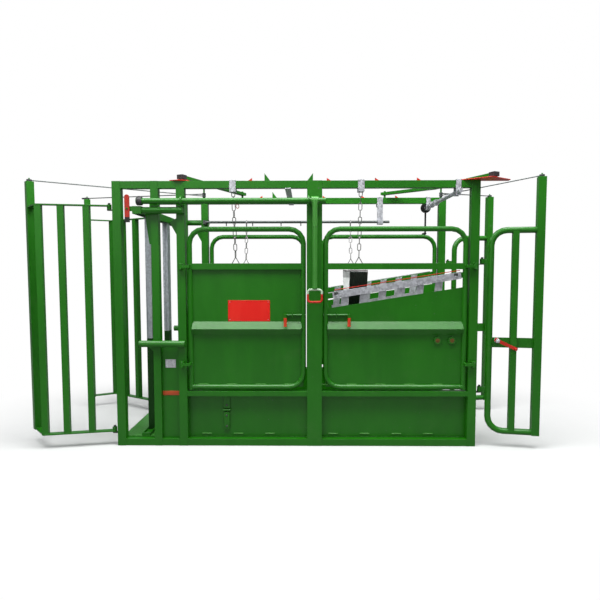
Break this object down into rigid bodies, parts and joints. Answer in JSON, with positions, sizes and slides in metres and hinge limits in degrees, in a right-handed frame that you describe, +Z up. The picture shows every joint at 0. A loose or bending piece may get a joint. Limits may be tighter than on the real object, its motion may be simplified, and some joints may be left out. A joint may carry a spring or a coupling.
{
  "type": "cattle crush",
  "caption": "Livestock handling crush: a tubular cage with swinging side doors, end gates worked by roof levers, a sliding head bail and belly belts on chains.",
  "frame": {"origin": "Centre of the base underside, midway between the side frames and midway along the corner posts, at floor level", "axes": "+X runs along the cage from the head end to the rear end, +Y from the near side frame to the far one, +Z up"},
  "size_m": [4.1909, 1.3941, 2.216],
  "materials": {
    "green_paint": "satin",
    "red_paint": "satin",
    "galvanised": "spangled",
    "belt_rubber": "ribbed",
    "black_plastic": "moulded",
    "white_plate": "gloss",
    "dark_steel": "weathered"
  },
  "bodies": {
    "frame": {"base_frame": "green_paint", "floor_plate": "green_paint", "roof_cross_bar": "galvanised", "near_side_frame": "green_paint", "far_side_frame": "green_paint", "near_kick_panel": "green_paint", "far_kick_panel": "green_paint", "near_head_panel": "green_paint", "far_head_panel": "green_paint", "near_lift_bracket": "galvanised", "far_lift_bracket": "galvanised", "bail_top_track": "green_paint", "bail_bottom_track": "green_paint", "front_guide_plate": "red_paint", "rear_guide_plate": "red_paint", "strap_rod": "dark_steel", "rod_hanger": "galvanised", "data_plate": "white_plate"},
    "near_front_door_body": {"near_front_door": "green_paint", "sign_plate": "red_paint"},
    "near_front_bolt_body": {"near_front_door_bolt": "red_paint"},
    "far_front_door_body": {"far_front_door": "green_paint"},
    "far_front_bolt_body": {"far_front_door_bolt": "red_paint"},
    "near_rear_door_body": {"near_rear_door": "green_paint", "near_slat_bar": "galvanised", "near_slat_rack": "galvanised"},
    "near_rear_bolt_body": {"near_rear_door_bolt": "red_paint"},
    "far_rear_door_body": {"far_rear_door": "green_paint", "far_slat_bar": "galvanised", "far_slat_rack": "galvanised"},
    "far_rear_bolt_body": {"far_rear_door_bolt": "red_paint"},
    "shaft_body": {"operating_shaft": "green_paint", "hand_lever": "green_paint", "hand_lever_grip": "red_paint"},
    "near_bail_body": {"near_bail_leaf": "galvanised"},
    "far_bail_body": {"far_bail_leaf": "galvanised"},
    "bail_lock_body": {"bail_lock_lever": "red_paint"},
    "front_lever_body": {"front_gate_lever": "green_paint", "front_lever_cap": "black_plastic"},
    "near_front_gate_body": {"near_front_gate": "green_paint"},
    "far_front_gate_body": {"far_front_gate": "green_paint"},
    "near_front_rod_body": {"near_front_gate_rod": "dark_steel"},
    "far_front_rod_body": {"far_front_gate_rod": "dark_steel"},
    "rear_lever_body": {"rear_gate_lever": "green_paint", "rear_lever_cap": "black_plastic"},
    "near_rear_gate_body": {"near_rear_gate": "green_paint"},
    "far_rear_gate_body": {"far_rear_gate": "green_paint"},
    "near_rear_rod_body": {"near_rear_gate_rod": "dark_steel"},
    "far_rear_rod_body": {"far_rear_gate_rod": "dark_steel"},
    "rear_latch_body": {"rear_gate_latch": "red_paint"},
    "lift_body": {"lift_shaft": "galvanised", "lift_crank": "black_plastic"},
    "front_belt_body": {"front_belt_hanger": "galvanised", "front_belt_near_chain": "dark_steel", "front_belt_far_chain": "dark_steel", "front_belly_belt": "belt_rubber"},
    "rear_belt_body": {"rear_belt_hanger": "galvanised", "rear_belt_near_chain": "dark_steel", "rear_belt_far_chain": "dark_steel", "rear_belly_belt": "belt_rubber"}
  },
  "joints": [
    {"name": "near_front_door_hinge", "type": "hinge", "parent": "frame", "child": "near_front_door_body", "pos_m": [-0.92, -0.53, 1], "axis": [0, 0, -1], "range_deg": [0, 130]},
    {"name": "near_front_door_slide_bolt", "type": "slide", "parent": "near_front_door_body", "child": "near_front_bolt_body", "axis": [1, 0, 0], "range_m": [0, 0.041]},
    {"name": "far_front_door_hinge", "type": "hinge", "parent": "frame", "child": "far_front_door_body", "pos_m": [-0.92, 0.53, 1], "axis": [0, 0, 1], "range_deg": [0, 130]},
    {"name": "far_front_door_slide_bolt", "type": "slide", "parent": "far_front_door_body", "child": "far_front_bolt_body", "axis": [1, 0, 0], "range_m": [0, 0.041]},
    {"name": "near_rear_door_hinge", "type": "hinge", "parent": "frame", "child": "near_rear_door_body", "pos_m": [1.431, -0.53, 1], "axis": [0, 0, 1], "range_deg": [0, 110]},
    {"name": "near_rear_door_slide_bolt", "type": "slide", "parent": "near_rear_door_body", "child": "near_rear_bolt_body", "axis": [-1, 0, 0], "range_m": [0, 0.041]},
    {"name": "far_rear_door_hinge", "type": "hinge", "parent": "frame", "child": "far_rear_door_body", "pos_m": [1.431, 0.53, 1], "axis": [0, 0, -1], "range_deg": [0, 110]},
    {"name": "far_rear_door_slide_bolt", "type": "slide", "parent": "far_rear_door_body", "child": "far_rear_bolt_body", "axis": [-1, 0, 0], "range_m": [0, 0.041]},
    {"name": "hand_lever_turn", "type": "hinge", "parent": "frame", "child": "shaft_body", "pos_m": [0, -0.54, 1.985], "axis": [-1, 0, 0], "range_deg": [0, 60]},
    {"name": "near_bail_slide", "type": "slide", "parent": "frame", "child": "near_bail_body", "axis": [0, 1, 0], "range_m": [0, 0.17]},
    {"name": "far_bail_slide", "type": "slide", "parent": "frame", "child": "far_bail_body", "axis": [0, -1, 0], "range_m": [0, 0.17]},
    {"name": "bail_lock_turn", "type": "hinge", "parent": "frame", "child": "bail_lock_body", "pos_m": [-1.322, -0.563, 1.925], "axis": [0, 1, 0], "range_deg": [-35, 20]},
    {"name": "front_gate_lever_turn", "type": "hinge", "parent": "frame", "child": "front_lever_body", "pos_m": [-0.545, 0.47, 2.19], "axis": [0, 0, 1], "range_deg": [0, 24.5]},
    {"name": "near_front_gate_hinge", "type": "hinge", "parent": "frame", "child": "near_front_gate_body", "pos_m": [-1.499, -0.47, 1], "axis": [0, 0, -1], "range_deg": [0, 35.02]},
    {"name": "far_front_gate_hinge", "type": "hinge", "parent": "frame", "child": "far_front_gate_body", "pos_m": [-1.499, 0.47, 1], "axis": [0, 0, 1], "range_deg": [0, 45.97]},
    {"name": "near_front_rod_turn", "type": "hinge", "parent": "near_front_gate_body", "child": "near_front_rod_body", "pos_m": [-2.17953, -0.39926, 2.1723], "axis": [0, 0, 1], "range_deg": [0, 16.33]},
    {"name": "far_front_rod_turn", "type": "hinge", "parent": "far_front_gate_body", "child": "far_front_rod_body", "pos_m": [-2.16549, 0.62467, 2.1723], "axis": [0, 0, -1], "range_deg": [0, 27.69]},
    {"name": "rear_gate_lever_turn", "type": "hinge", "parent": "frame", "child": "rear_lever_body", "pos_m": [0.865, 0.47, 2.19], "axis": [0, 0, -1], "range_deg": [0, 50]},
    {"name": "near_rear_gate_hinge", "type": "hinge", "parent": "frame", "child": "near_rear_gate_body", "pos_m": [1.499, -0.47, 1], "axis": [0, 0, 1], "range_deg": [0, 84.96]},
    {"name": "far_rear_gate_hinge", "type": "hinge", "parent": "frame", "child": "far_rear_gate_body", "pos_m": [1.499, 0.47, 1], "axis": [0, 0, -1], "range_deg": [0, 87.49]},
    {"name": "near_rear_rod_turn", "type": "hinge", "parent": "near_rear_gate_body", "child": "near_rear_rod_body", "pos_m": [1.92568, -0.53758, 2.1723], "axis": [0, 0, -1], "range_deg": [0, 37.37]},
    {"name": "far_rear_rod_turn", "type": "hinge", "parent": "far_rear_gate_body", "child": "far_rear_rod_body", "pos_m": [1.92568, 0.53758, 2.1723], "axis": [0, 0, 1], "range_deg": [0, 61.48]},
    {"name": "rear_gate_latch_turn", "type": "hinge", "parent": "near_rear_gate_body", "child": "rear_latch_body", "pos_m": [1.61579, -0.51887, 0.876], "axis": [-0.1564, -0.9877, 0], "range_deg": [-40, 40]},
    {"name": "lift_crank_turn", "type": "hinge", "parent": "frame", "child": "lift_body", "pos_m": [1.29, 0, 2.06], "axis": [0, 1, 0], "continuous": true},
    {"name": "front_belt_slide", "type": "slide", "parent": "frame", "child": "front_belt_body", "axis": [1, 0, 0], "range_m": [-0.1, 0.03]},
    {"name": "rear_belt_slide", "type": "slide", "parent": "frame", "child": "rear_belt_body", "axis": [1, 0, 0], "range_m": [-0.12, 0.02]}
  ],
  "couplings": [
    {"joint": "near_bail_slide", "follows": "hand_lever_turn", "m_per_rad": 0.16234},
    {"joint": "far_bail_slide", "follows": "hand_lever_turn", "m_per_rad": 0.16234},
    {"joint": "near_front_gate_hinge", "follows": "front_gate_lever_turn", "ratio": 1.4294},
    {"joint": "far_front_gate_hinge", "follows": "front_gate_lever_turn", "ratio": 1.8763},
    {"joint": "near_front_rod_turn", "follows": "front_gate_lever_turn", "ratio": 0.66653},
    {"joint": "far_front_rod_turn", "follows": "front_gate_lever_turn", "ratio": 1.1302},
    {"joint": "near_rear_gate_hinge", "follows": "rear_gate_lever_turn", "ratio": 1.6992},
    {"joint": "far_rear_gate_hinge", "follows": "rear_gate_lever_turn", "ratio": 1.7498},
    {"joint": "near_rear_rod_turn", "follows": "rear_gate_lever_turn", "ratio": 0.7474},
    {"joint": "far_rear_rod_turn", "follows": "rear_gate_lever_turn", "ratio": 1.2296}
  ]
}
